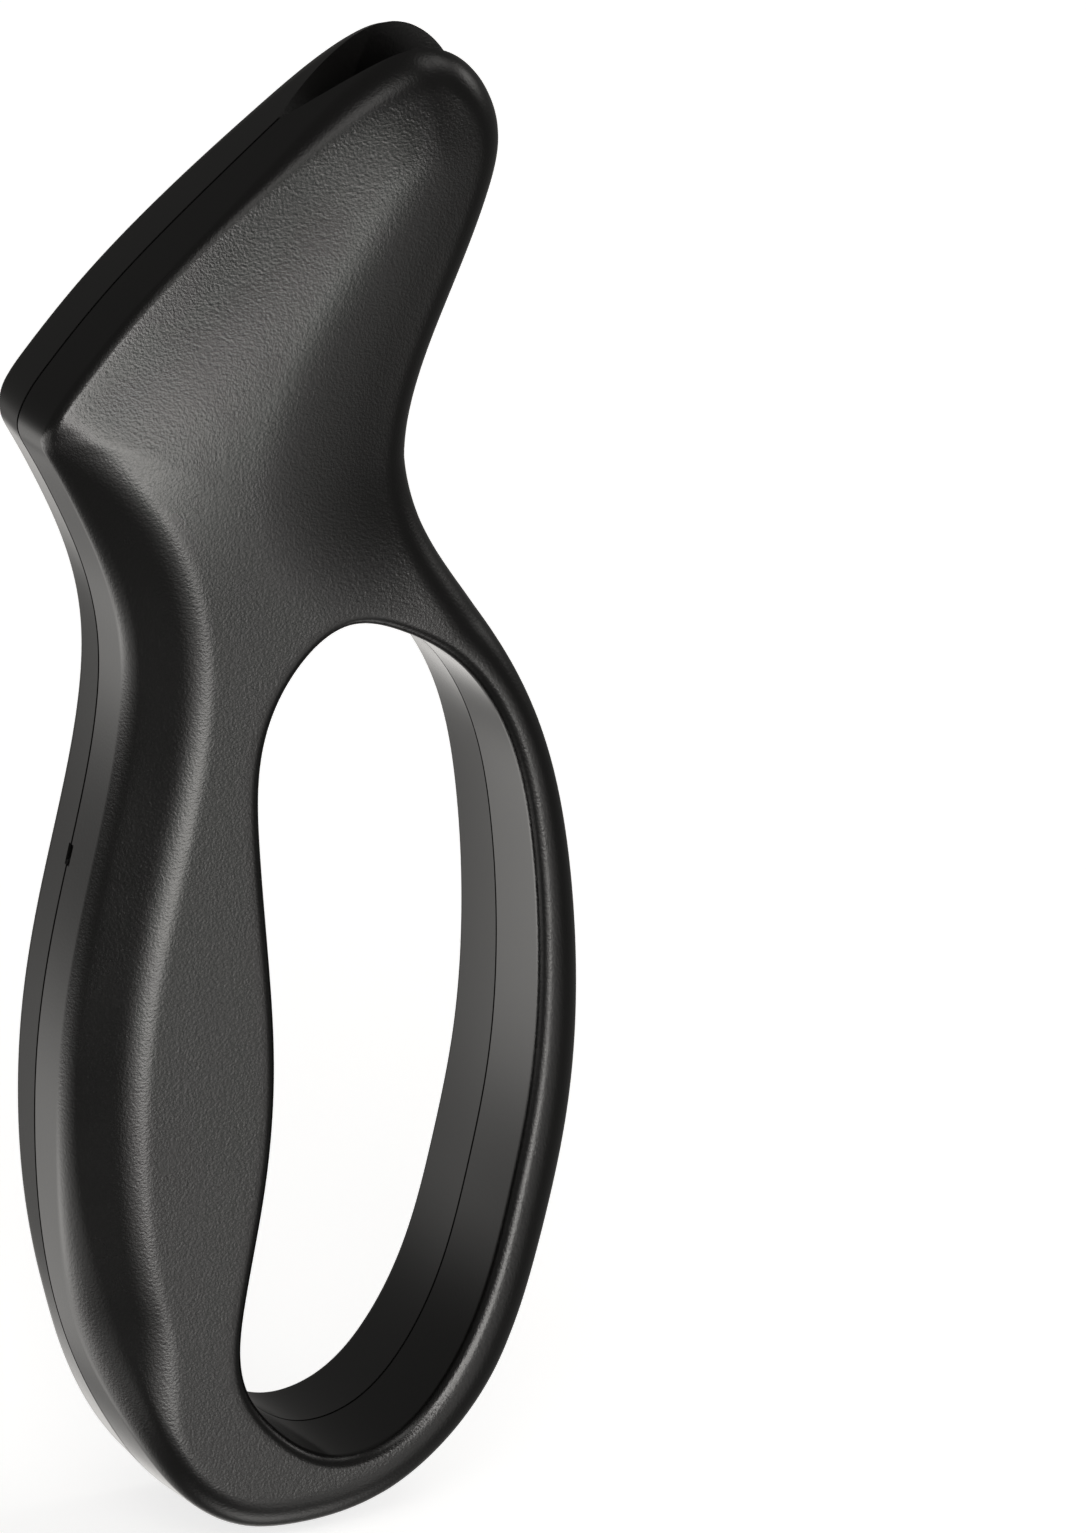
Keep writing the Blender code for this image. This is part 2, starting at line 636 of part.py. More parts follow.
def clamp_parts(frame, paint):
    """Clamp screw, its washer, and the nut held in the front shell."""
    _, washer, head = clamp_levels()
    centre = clamp_centre(frame)
    frame_y = through_y(centre)
    nut_low = -(pocket_half() + FIT + NUT_THICK)
    headed_screw("clamp_screw", centre, CLAMP_RADIUS, CLAMP_HEAD_RADIUS, nut_low, head, head + CLAMP_HEAD, paint)
    ring_plate("clamp_washer", circle(CLAMP_HEAD_RADIUS), CLAMP_RADIUS + FIT, washer, washer + WASHER_THICK,
               frame_y, paint)
    ring_plate("clamp_nut", hexagon(NUT_FLATS), CLAMP_RADIUS + FIT, nut_low, nut_low + NUT_THICK, frame_y, paint)


# Cartridge


def blade_outline(lean, grow=0.0):
    """Blade plate in the mouth frame's (y, z): leaning to one side, its inner edge through the crossing point."""
    cos, sin = math.cos(BLADE_TILT), lean * math.sin(BLADE_TILT)
    top = CARTRIDGE_NOSE - FIT - BLADE_CROSSING
    near, far = sorted((-lean * grow, lean * (BLADE_WIDTH + grow)))
    return [(y * cos + z * sin, z * cos - y * sin + BLADE_CROSSING)
            for y, z in box_outline(near, far, top - BLADE_LENGTH - grow, top + grow)]


def blade_bottom():
    return min(z for _, z in blade_outline(1.0))


def carbide_blades(frame, paint):
    """Two carbide plates side by side along the root, leaning opposite ways so that their edges cross."""
    for name, side in (("carbide_blade_left", -1.0), ("carbide_blade_right", 1.0)):
        near, far = sorted((side * FIT / 2.0, side * (FIT / 2.0 + BLADE_THICK)))
        finish(prism(name, blade_outline(side), near, far, along_root(frame)), paint)


def carrier_half(name, side, frame, paint):
    """One half of the cartridge body: a block with a blade seat, half the clamp fork and two rivet holes."""
    half = CARTRIDGE_THICK / 2.0
    tail = CARTRIDGE_NOSE - CARTRIDGE_LENGTH
    near, far = sorted((side * FIT / 2.0, side * CARTRIDGE_WIDTH / 2.0))
    body = prism(name, box_outline(-half, half, tail, CARTRIDGE_NOSE), near, far, along_root(frame))
    seat_near, seat_far = sorted((-side * OVERSHOOT, side * (1.5 * FIT + BLADE_THICK)))
    notch = [(0.0, 0.0), (CARRIER_NOTCH_SLOPE * REACH, REACH), (-CARRIER_NOTCH_SLOPE * REACH, REACH)]
    fork = box_outline(-CLAMP_RADIUS - FIT, CLAMP_RADIUS + FIT, tail - OVERSHOOT, FIT + CLAMP_RADIUS - CLAMP_DEPTH)
    tools = [prism("seat", blade_outline(side, FIT), seat_near, seat_far, along_root(frame)),
             prism("notch", notch, -REACH, REACH, along_root(frame)),
             prism("fork", fork, -REACH, REACH, along_depth(frame))]
    sink_near, sink_far = sorted((side * REACH, side * (CARTRIDGE_WIDTH / 2.0 - RIVET_HEAD - FIT)))
    for across in (-1.0, 1.0):
        place = rivet_frame(frame, across)
        tools.append(prism("rivet_hole", circle(RIVET_RADIUS + FIT, 12), -REACH, REACH, place))
        tools.append(prism("rivet_sink", circle(RIVET_HEAD_RADIUS + FIT, 12), sink_near, sink_far, place))
    cut(body, tools)
    finish(body, paint)


def rivet_frame(frame, across):
    """Frame of a rivet: along the mouth's root, below the blades, to the front or the rear."""
    fork_top = FIT + CLAMP_RADIUS - CLAMP_DEPTH
    move = Matrix.Translation((across * RIVET_SPREAD / 2.0, (blade_bottom() + fork_top) / 2.0, 0.0))
    return along_root(frame) @ move


def rivets(frame, paint):
    half = CARTRIDGE_WIDTH / 2.0
    for name, across in (("cartridge_rivet_front", -1.0), ("cartridge_rivet_rear", 1.0)):
        place = rivet_frame(frame, across)
        body = prism(name, circle(RIVET_RADIUS, 12), -half + RIVET_HEAD / 2.0, half - RIVET_HEAD / 2.0, place)
        heads = [prism("rivet_head", circle(RIVET_HEAD_RADIUS, 12), *ends, place)
                 for ends in ((-half, RIVET_HEAD - half), (half - RIVET_HEAD, half))]
        cut(body, heads, "UNION")
        finish(body, paint)


def build():
    clear_scene()
    form = Form()
    frame = mouth_frame(form)
    abs_paint = material("black_abs", BLACK_ABS)
    front_shell(form, frame, abs_paint)
    rear_shell(form, frame, abs_paint)
    carrier_paint = material("carrier_nylon", CARRIER_NYLON)
    carrier_half("carrier_left", -1.0, frame, carrier_paint)
    carrier_half("carrier_right", 1.0, frame, carrier_paint)
    carbide_blades(frame, material("carbide", CARBIDE))
    rivets(frame, material("rivet_steel", ZINC_STEEL))
    clamp_parts(frame, material("zinc_steel", ZINC_STEEL))
    case_screws(form, material("black_steel", BLACK_STEEL))


build()
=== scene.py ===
"""Visual model and studio scene for the hand-held V-slot sharpener with a full finger guard.

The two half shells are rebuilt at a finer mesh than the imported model, on the same outlines and
heights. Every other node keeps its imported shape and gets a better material.
"""
import math

import bmesh
import bpy
import numpy as np
from mathutils import Matrix, Vector
from mathutils.geometry import delaunay_2d_cdt


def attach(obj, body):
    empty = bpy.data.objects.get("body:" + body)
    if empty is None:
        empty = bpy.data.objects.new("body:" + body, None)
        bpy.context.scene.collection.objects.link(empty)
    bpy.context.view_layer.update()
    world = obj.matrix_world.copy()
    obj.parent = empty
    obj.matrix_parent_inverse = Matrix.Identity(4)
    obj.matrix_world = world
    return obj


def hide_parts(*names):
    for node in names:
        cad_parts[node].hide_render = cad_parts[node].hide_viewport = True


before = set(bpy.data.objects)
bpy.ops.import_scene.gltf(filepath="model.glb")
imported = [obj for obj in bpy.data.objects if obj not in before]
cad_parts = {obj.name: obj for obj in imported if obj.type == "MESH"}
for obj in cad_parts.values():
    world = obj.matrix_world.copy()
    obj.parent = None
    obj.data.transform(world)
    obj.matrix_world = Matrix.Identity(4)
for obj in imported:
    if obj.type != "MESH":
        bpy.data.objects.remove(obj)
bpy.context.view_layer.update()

MM = 0.001

# Outlines of the moulding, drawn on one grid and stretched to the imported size
HEEL = [(-8.6, -73.0), (-2.1, -73.9), (6.2, -72.4), (13.0, -68.2)]
GUARD = [(19.04, -60.87), (23.24, -49.8), (26.08, -38.5), (27.47, -26.02), (27.13, -13.99), (25.53, -2.37),
         (22.23, 8.75)]
NECK = [(16.55, 19.44), (11.43, 28.35), (10.24, 35.29), (11.46, 41.96), (14.9, 50.5)]
TIP = [(19.0, 60.4), (20.2, 66.3), (18.9, 71.3), (15.8, 74.9), (11.9, 76.2), (7.6, 75.0)]
SLANT = [(-1.19, 69.14), (-10.48, 61.84), (-19.81, 53.74), (-25.46, 47.76)]
CORNER = [(-28.0, 44.3), (-28.6, 42.1), (-27.6, 39.5)]
PALM = [(-24.77, 33.9), (-21.75, 26.49), (-20.25, 18.97), (-20.53, 11.25), (-22.31, 1.67), (-24.87, -9.29),
        (-26.67, -20.33), (-27.11, -31.4)]
HEEL_SIDE = [(-26.4, -41.8), (-23.8, -53.2), (-19.1, -63.1), (-14.4, -69.3)]
OUTER = HEEL + GUARD + NECK + TIP + SLANT + CORNER + PALM + HEEL_SIDE
LOOP = [(0.59, -65.73), (6.48, -64.71), (11.69, -59.96), (15.83, -52.26), (18.67, -42.62), (20.89, -32.02),
        (21.86, -20.01), (21.28, -6.33), (18.61, 5.92), (13.52, 13.93), (7.67, 18.01), (2.18, 19.4),
        (-3.24, 15.63), (-6.49, 8.62), (-6.89, -1.49), (-5.93, -13.99), (-5.43, -25.0), (-6.48, -37.5),
        (-8.52, -48.51), (-8.58, -57.14), (-5.13, -62.33)]
MOUTH_LEFT = (-0.9, 68.7)
MOUTH_RIGHT = (16.4, 57.6)
CASE_BOSSES = [(-19.5, 43.5), (0.4, 27.8), (-12.9, 2.0), (-14.8, -33.0), (-12.0, -61.6)]
PIN_BOSSES = [(24.3, -19.0), (20.3, -48.0)]
PRY_PLACE = (-22.9, -3.0)

# Sizes of the moulding
LENGTH = 150.0 * MM
WIDTH = 56.0 * MM
THICKNESS = 19.6 * MM
EDGE_HEIGHT = 6.1 * MM
PALM_EDGE_HEIGHT = 5.4 * MM
TIP_EDGE_HEIGHT = 7.3 * MM
HEEL_LIFT = 4.5 * MM
HEEL_LIFT_FROM = -48.0
HEEL_LIFT_TO = -70.0
RIDGE_OFFSET = 6.2 * MM
CROWN_REACH = 27.0 * MM
TIP_SLOPE = 0.2
RIDGE_BLEND = 1.2 * MM
SLANT_RADIUS = 0.9 * MM
PALM_RADIUS = 1.2 * MM
HEEL_SIDE_RADIUS = 3.0 * MM
TIP_RADIUS = 3.2 * MM
GUARD_RADIUS = 4.4 * MM
LOOP_RADIUS = 1.2 * MM
MIN_CREST = 0.3 * MM
DRAFT = 0.3 * MM
WALL = 2.0 * MM
MIN_HOLLOW = 1.0 * MM
SEAM = 0.3 * MM
MOUTH_SLOPE = 0.45
MOUTH_HALF_GAP = 4.9 * MM
MOUTH_DEPTH = 24.0 * MM
POCKET_SIDE = 4.1 * MM
POCKET_HALF = 3.9 * MM
POCKET_FLOOR = -19.0 * MM
CLAMP_DEPTH = 13.0 * MM
CLAMP_SEAT = 5.5 * MM
CLAMP_HOLE = 2.3 * MM
CLAMP_HEAD_HOLE = 3.9 * MM
NUT_DEPTH = 7.1 * MM
NUT_FLATS = 7.6 * MM
BOSS_RADIUS = 3.9 * MM
CASE_HOLE = 1.6 * MM
CASE_HEAD_HOLE = 2.8 * MM
CASE_HEAD_SUNK = 2.5 * MM
PILOT_DEPTH = 4.95 * MM
PIN_RADIUS = 0.9 * MM
PIN_HOLE = 1.2 * MM
PIN_LENGTH = 1.6 * MM
PIN_BOSS_RADIUS = 1.6 * MM
PRY_WIDTH = 2.2 * MM
PRY_DEPTH = 0.9 * MM
PRY_HEIGHT = 1.0 * MM

# Mesh density
SPAN_SAMPLES = 60
OUTER_SIDES = 440
LOOP_SIDES = 260
TURN_WEIGHT = 25.0 * MM
FILLET_RINGS = 9
FACE_STEP = 0.55 * MM
HOLLOW_STEP = 4.0 * MM
MOUTH_STEPS = 24
ROUND_SIDES = 48
REACH = 60.0 * MM
OVERSHOOT = 1.0 * MM
TIDY_DISTANCE = 0.002 * MM
CHUNK = 400


# Outlines


def closed_curve(points):
    """Periodic cubic spline through the points, sampled evenly in each span."""
    points = np.array(points)
    count = len(points)
    after = np.roll(points, -1, axis=0)
    span = np.linalg.norm(after - points, axis=1)
    before = np.roll(span, 1)
    system = np.zeros((count, count))
    right = np.zeros((count, 2))
    for i in range(count):
        system[i, i - 1] = 1.0 / before[i]
        system[i, i] = 2.0 / before[i] + 2.0 / span[i]
        system[i, (i + 1) % count] = 1.0 / span[i]
        right[i] = 3.0 * ((points[i] - points[i - 1]) / before[i] ** 2
                          + (after[i] - points[i]) / span[i] ** 2)
    slope = np.linalg.solve(system, right)
    t = (np.arange(SPAN_SAMPLES) / SPAN_SAMPLES)[:, None]
    samples = []
    for i in range(count):
        j = (i + 1) % count
        a, b = slope[i] * span[i], slope[j] * span[i]
        samples.append(points[i] * (2 * t ** 3 - 3 * t ** 2 + 1) + a * (t ** 3 - 2 * t ** 2 + t)
                       + points[j] * (3 * t ** 2 - 2 * t ** 3) + b * (t ** 3 - t ** 2))
    return np.concatenate(samples)


def left_normals(curve):
    along = np.roll(curve, -1, axis=0) - np.roll(curve, 1, axis=0)
    along /= np.linalg.norm(along, axis=1)[:, None]
    return np.stack([-along[:, 1], along[:, 0]], axis=1)


def distance_to(points, line):
    """Distance from each point to an open polyline."""
    start, step = line[:-1], np.diff(line, axis=0)
    size = (step ** 2).sum(-1)
    found = []
    for first in range(0, len(points), CHUNK):
        offset = points[first:first + CHUNK, None, :] - start[None, :, :]
        share = np.clip((offset * step).sum(-1) / size, 0.0, 1.0)
        found.append(np.sqrt(((offset - share[..., None] * step) ** 2).sum(-1).min(axis=1)))
    return np.concatenate(found) if found else np.zeros(0)


def inside(points, polygon):
    """Even-odd test of many points against one closed polygon."""
    start, end = polygon, np.roll(polygon, -1, axis=0)
    rise = np.where(end[:, 1] == start[:, 1], 1.0, end[:, 1] - start[:, 1])
    found = []
    for first in range(0, len(points), CHUNK):
        x, z = points[first:first + CHUNK, None, 0], points[first:first + CHUNK, None, 1]
        spans = (start[:, 1] > z) != (end[:, 1] > z)
        reach = start[:, 0] + (z - start[:, 1]) * (end[:, 0] - start[:, 0]) / rise
        found.append((spans & (x < reach)).sum(axis=1) % 2 == 1)
    return np.concatenate(found)


def closed(line):
    return np.concatenate([line, line[:1]])


def spaced(curve, count):
    """Indices of samples along a closed curve, closer together where it turns."""
    step = np.roll(curve, -1, axis=0) - curve
    heading = np.unwrap(np.arctan2(step[:, 1], step[:, 0]))
    turn = np.abs(np.diff(heading, append=heading[-1:]))
    effort = np.cumsum(np.linalg.norm(step, axis=1) + TURN_WEIGHT * turn)
    return np.unique(np.searchsorted(effort, np.arange(count) * effort[-1] / count))


def fill_between(outer, loop, step):
    """Triangles between two closed lines: their points first, then a staggered grid between them."""
    points = [*outer, *loop]
    if step:
        low, high = outer.min(axis=0), outer.max(axis=0)
        columns = np.arange(low[0], high[0], step)
        rows = np.arange(low[1], high[1], step * math.sqrt(3.0) / 2.0)
        grid = np.array([(x + step / 2.0 * (i % 2), z) for i, z in enumerate(rows) for x in columns])
        grid = grid[inside(grid, outer) & ~inside(grid, loop)]
        clear = np.minimum(distance_to(grid, closed(outer)), distance_to(grid, closed(loop)))
        points += [*grid[clear > step * 0.6]]
    count = len(outer)
    edges = [(i, (i + 1) % count) for i in range(count)]
    edges += [(count + i, count + (i + 1) % len(loop)) for i in range(len(loop))]
    made = delaunay_2d_cdt([Vector(p) for p in points], edges, [], 0, 1e-9)
    triangles = np.array([face for face in made[2]])
    centres = np.array([[*v] for v in made[0]])[triangles].mean(axis=1)
    keep = inside(centres, outer) & ~inside(centres, loop)
    return np.array(points), triangles[keep]


def smooth_ring(values, passes):
    for _ in range(passes):
        values = (np.roll(values, 1, axis=0) + 2.0 * values + np.roll(values, -1, axis=0)) / 4.0
    return values


def ease(values, start, end):
    """0 before start, 1 after end, and a smooth step between."""
    share = np.clip((values - start) / (end - start), 0.0, 1.0)
    return share * share * (3.0 - 2.0 * share)


def smooth_min(a, b, blend):
    near = np.maximum(blend - np.abs(a - b), 0.0) / blend
    return np.minimum(a, b) - near ** 2 * blend / 4.0


class Form:
    """The moulded outside: outlines in the object's frame, and the height of the face above y = 0."""

    def __init__(self):
        drawn = closed_curve(OUTER)
        low, high = drawn.min(axis=0), drawn.max(axis=0)
        self.scale = np.array([WIDTH, LENGTH]) / (high - low)
        self.origin = np.array([(low[0] + high[0]) / 2.0, low[1]])
        self.outer = self.place(drawn)
        self.loop = closed_curve(self.place(LOOP))
        zones = [(HEEL, GUARD_RADIUS), (GUARD, GUARD_RADIUS), (NECK, TIP_RADIUS), (TIP, TIP_RADIUS),
                 (SLANT, SLANT_RADIUS), (CORNER, SLANT_RADIUS), (PALM, PALM_RADIUS),
                 (HEEL_SIDE, HEEL_SIDE_RADIUS)]
        knots = np.cumsum([0] + [len(zone) for zone, _ in zones]) * SPAN_SAMPLES
        ring = np.concatenate([self.outer, self.outer])
        self.tip_edge = ring[knots[2] + 2 * SPAN_SAMPLES:knots[4] - 2 * SPAN_SAMPLES]
        self.slant_edge = ring[knots[4] - 2 * SPAN_SAMPLES:knots[5] + SPAN_SAMPLES]
        self.palm_edge = ring[knots[5] + SPAN_SAMPLES:knots[8] + 2 * SPAN_SAMPLES]
        radius = np.repeat([size for _, size in zones], np.diff(knots))
        self.radius = smooth_ring(radius, SPAN_SAMPLES ** 2)
        pick = spaced(self.outer, OUTER_SIDES)
        self.edge = self.outer[pick]
        self.edge_in = left_normals(self.outer)[pick]
        pick_loop = spaced(self.loop, LOOP_SIDES)
        self.rim = self.loop[pick_loop]
        self.rim_in = -left_normals(self.loop)[pick_loop]
        self.edge_width = distance_to(self.edge, closed(self.loop))
        self.rim_width = distance_to(self.rim, closed(self.outer))
        limit = self.edge_width - LOOP_RADIUS - 2.0 * DRAFT - MIN_CREST
        self.edge_radius = np.minimum(self.radius[pick], limit)

    def place(self, points):
        """Grid points to the object's (x, z)."""
        return (np.array(points) - self.origin) * self.scale

    def face(self, points):
        """Height of the face without its edge rounding."""
        top = THICKNESS / 2.0
        crown = 1.0 - (1.0 - np.minimum(distance_to(points, self.slant_edge) / CROWN_REACH, 1.0)) ** 3
        head = EDGE_HEIGHT + (top - EDGE_HEIGHT) * crown
        rise = (top - PALM_EDGE_HEIGHT) / RIDGE_OFFSET
        lift = HEEL_LIFT * ease(points[:, 1], *self.place([(0.0, HEEL_LIFT_FROM), (0.0, HEEL_LIFT_TO)])[:, 1])
        palm = PALM_EDGE_HEIGHT + lift + rise * distance_to(points, self.palm_edge)
        tip = TIP_EDGE_HEIGHT + TIP_SLOPE * distance_to(points, self.tip_edge)
        height = smooth_min(head, palm, RIDGE_BLEND)
        return smooth_min(height, tip, RIDGE_BLEND)

    def skin(self):
        """Rings of places and heights from each parting line up to the face: outer side, then loop."""
        outer = [(self.edge, np.full(len(self.edge), SEAM / 2.0))]
        loop = [(self.rim, np.full(len(self.rim), SEAM / 2.0))]
        for angle in np.linspace(0.0, math.pi / 2.0, FILLET_RINGS + 1):
            inset = self.edge_radius * (1.0 - math.cos(angle)) + DRAFT
            place = self.edge + self.edge_in * inset[:, None]
            outer.append((place, self.face(place) - self.edge_radius * (1.0 - math.sin(angle))))
            place = self.rim + self.rim_in * (LOOP_RADIUS * (1.0 - math.cos(angle)) + DRAFT)
            loop.append((place, self.face(place) - LOOP_RADIUS * (1.0 - math.sin(angle))))
        return outer, loop

    def hollow_height(self, places):
        """Height of the hollow: one wall below the outside, its rounded outer side included."""
        gap = np.linalg.norm(places[:, None] - self.edge[None], axis=2)
        radius = self.edge_radius[gap.argmin(axis=1)]
        short = np.maximum(radius - distance_to(places, closed(self.edge)), 0.0)
        return self.face(places) - WALL - radius + np.sqrt(radius ** 2 - short ** 2)

    def hollow_walls(self):
        """Walls of the hollow, one wall in from each side, or less where the bar is thin."""
        outer_inset = np.minimum(WALL + DRAFT, (self.edge_width - MIN_HOLLOW) / 2.0)
        loop_inset = np.minimum(WALL + DRAFT, (self.rim_width - MIN_HOLLOW) / 2.0)
        outer_place = self.edge + self.edge_in * outer_inset[:, None]
        loop_place = self.rim + self.rim_in * loop_inset[:, None]
        outer = [(outer_place, np.full(len(outer_place), -OVERSHOOT)),
                 (outer_place, self.hollow_height(outer_place))]
        loop = [(loop_place, np.full(len(loop_place), -OVERSHOOT)),
                (loop_place, self.hollow_height(loop_place))]
        return outer, loop

    def height_at(self, place):
        return float(self.face(np.array([place]))[0])


# Meshes


def new_object(name, mesh_edit):
    work = bmesh.new()
    mesh_edit(work)
    bmesh.ops.recalc_face_normals(work, faces=work.faces)
    mesh = bpy.data.meshes.new(name)
    work.to_mesh(mesh)
    work.free()
    obj = bpy.data.objects.new(name, mesh)
    bpy.context.scene.collection.objects.link(obj)
    return obj


def ring_body(name, sides, height_of, step, rise):
    """Closed ring-shaped body: two sets of side rings, a flat base, and a top that follows height_of."""
    def edit(work):
        def add(places, heights):
            return [work.verts.new((x, rise * y, z)) for (x, z), y in zip(places, heights)]
        rows = [[add(*ring) for ring in side] for side in sides]
        for side in rows:
            for row, following in zip(side, side[1:]):
                for i in range(len(row)):
                    j = (i + 1) % len(row)
                    work.faces.new((row[i], row[j], following[j], following[i]))
        for level, spacing in ((0, None), (-1, step)):
            outer, loop = sides[0][level][0], sides[1][level][0]
            points, triangles = fill_between(outer, loop, spacing)
            between = points[len(outer) + len(loop):]
            verts = rows[0][level] + rows[1][level]
            if len(between):
                verts = verts + add(between, height_of(between))
            for triangle in triangles:
                work.faces.new([verts[i] for i in triangle])
    return new_object(name, edit)


def prism(name, outline, start, end, place):
    """Outline of (a, b) points extruded from start to end; place maps (a, b, c) to the object's axes."""
    def edit(work):
        low = [work.verts.new(place @ Vector((a, b, start))) for a, b in outline]
        high = [work.verts.new(place @ Vector((a, b, end))) for a, b in outline]
        work.faces.new(low)
        work.faces.new(high[::-1])
        for i in range(len(outline)):
            j = (i + 1) % len(outline)
            work.faces.new((low[i], low[j], high[j], high[i]))
    return new_object(name, edit)


def circle(radius, sides=ROUND_SIDES):
    turns = [2.0 * math.pi * i / sides for i in range(sides)]
    return [(radius * math.cos(t), radius * math.sin(t)) for t in turns]


def hexagon(flats):
    corner = flats / math.sqrt(3.0)
    return [(corner * math.cos(math.pi * i / 3.0), corner * math.sin(math.pi * i / 3.0)) for i in range(6)]


def box_outline(low_a, high_a, low_b, high_b):
    return [(low_a, low_b), (high_a, low_b), (high_a, high_b), (low_a, high_b)]


def cut(target, tools, operation="DIFFERENCE"):
    """Apply one Boolean with all the tools at once, tidy its slivers and remove the tools."""
    group = bpy.data.collections.new("tools")
    bpy.context.scene.collection.children.link(group)
    for tool in tools:
        group.objects.link(tool)
    change = target.modifiers.new("cut", "BOOLEAN")
    change.operation = operation
    change.solver = "EXACT"
    change.operand_type = "COLLECTION"
    change.collection = group
    graph = bpy.context.evaluated_depsgraph_get()
    mesh = bpy.data.meshes.new_from_object(target.evaluated_get(graph))
    target.modifiers.clear()
    old = target.data
    target.data = mesh
    bpy.data.meshes.remove(old)
    for tool in tools:
        bpy.data.objects.remove(tool, do_unlink=True)
    bpy.data.collections.remove(group)
    work = bmesh.new()
    work.from_mesh(mesh)
    bmesh.ops.triangulate(work, faces=[face for face in work.faces if len(face.verts) > 4])
    bmesh.ops.remove_doubles(work, verts=work.verts, dist=TIDY_DISTANCE)
    bmesh.ops.dissolve_degenerate(work, edges=work.edges, dist=TIDY_DISTANCE)
    work.to_mesh(mesh)
    work.free()


def through_y(centre):
    """Frame for a round outline in the XZ plane that is extruded along +Y."""
    x, z = centre
    return Matrix(((1, 0, 0, x), (0, 0, 1, 0), (0, 1, 0, z), (0, 0, 0, 1)))


def mouth_frame(form):
    """x along the mouth's root, y to the rear, z out of the mouth."""
    left, right = form.place([MOUTH_LEFT, MOUTH_RIGHT])
    root = (right - left) / np.linalg.norm(right - left)
    centre = (left + right) / 2.0
    out = np.array([-root[1], root[0]])
    return Matrix(((root[0], 0, out[0], centre[0]), (0, 1, 0, 0), (root[1], 0, out[1], centre[1]),
                   (0, 0, 0, 1)))


def along_root(place):
    return place @ Matrix(((0, 0, 1, 0), (1, 0, 0, 0), (0, 1, 0, 0), (0, 0, 0, 1)))


def along_depth(place):
    return place @ Matrix(((1, 0, 0, 0), (0, 0, 1, 0), (0, 1, 0, 0), (0, 0, 0, 1)))


def mouth_gap(depth):
    """Half the gap between the lips: a V at the root that rounds out to a constant width."""
    return MOUTH_HALF_GAP * math.tanh(MOUTH_SLOPE * depth / MOUTH_HALF_GAP)


def mouth_tools(mouth):
    depths = [MOUTH_DEPTH * (step / MOUTH_STEPS) ** 1.5 for step in range(1, MOUTH_STEPS + 1)]
    side = [(mouth_gap(depth), depth) for depth in depths]
    outline = [(0.0, 0.0)] + side + [(-gap, depth) for gap, depth in reversed(side)]
    top = MOUTH_HALF_GAP / MOUTH_SLOPE * math.atanh(POCKET_HALF / MOUTH_HALF_GAP)
    pocket = box_outline(-POCKET_SIDE, POCKET_SIDE, POCKET_FLOOR, top)
    return [prism("mouth_tool", outline, -REACH, REACH, along_root(mouth)),
            prism("pocket_tool", pocket, -POCKET_HALF, POCKET_HALF, along_depth(mouth))]


def hollow(form, mouth, rise):
    """The hollow of one shell, with the mouth housing and the bosses left standing."""
    space = ring_body("hollow_tool", form.hollow_walls(), form.hollow_height, HOLLOW_STEP, rise)
    side = POCKET_SIDE + WALL
    housing = box_outline(-side, side, POCKET_FLOOR - WALL, REACH)
    lips = box_outline(-REACH, REACH, -WALL, REACH)
    standing = [prism("solid", outline, -REACH, REACH, along_depth(mouth)) for outline in (housing, lips)]
    for centre in form.place(CASE_BOSSES):
        standing.append(prism("boss", circle(BOSS_RADIUS), -REACH, REACH, through_y(centre)))
    for centre in form.place(PIN_BOSSES):
        standing.append(prism("pin_boss", circle(PIN_BOSS_RADIUS), -REACH, REACH, through_y(centre)))
    cut(space, standing)
    return space


def pry_tool(form):
    """A small tapered notch across the seam on the palm side."""
    x, z = form.place([PRY_PLACE])[0]
    nearest = int(np.argmin(np.linalg.norm(form.outer - np.array([x, z]), axis=1)))
    point, inward = form.outer[nearest], left_normals(form.outer)[nearest]
    place = Matrix(((inward[0], -inward[1], 0, point[0]), (0, 0, 1, 0), (inward[1], inward[0], 0, point[1]),
                    (0, 0, 0, 1)))
    outline = [(-PRY_DEPTH, -PRY_WIDTH), (PRY_DEPTH, 0.0), (-PRY_DEPTH, PRY_WIDTH)]
    return prism("pry_tool", outline, -PRY_HEIGHT / 2.0, PRY_HEIGHT / 2.0, place)


def front_holes(form, clamp):
    holes = [prism("pilot", circle(CASE_HOLE), -PILOT_DEPTH, OVERSHOOT, through_y(centre))
             for centre in form.place(CASE_BOSSES)]
    deep = SEAM / 2.0 + PIN_LENGTH + SEAM
    holes += [prism("pin_hole", circle(PIN_HOLE), -deep, OVERSHOOT, through_y(centre))
              for centre in form.place(PIN_BOSSES)]
    holes.append(prism("nut_room", hexagon(NUT_FLATS), -NUT_DEPTH, 0.0, through_y(clamp)))
    return holes


def rear_holes(form, clamp):
    holes = []
    for centre in form.place(CASE_BOSSES):
        seat = form.height_at(centre) - CASE_HEAD_SUNK
        holes.append(prism("shank", circle(CASE_HOLE), -OVERSHOOT, REACH, through_y(centre)))
        holes.append(prism("head", circle(CASE_HEAD_HOLE), seat, REACH, through_y(centre)))
    holes.append(prism("clamp_hole", circle(CLAMP_HOLE), 0.0, REACH, through_y(clamp)))
    holes.append(prism("clamp_head", circle(CLAMP_HEAD_HOLE), CLAMP_SEAT, REACH, through_y(clamp)))
    return holes


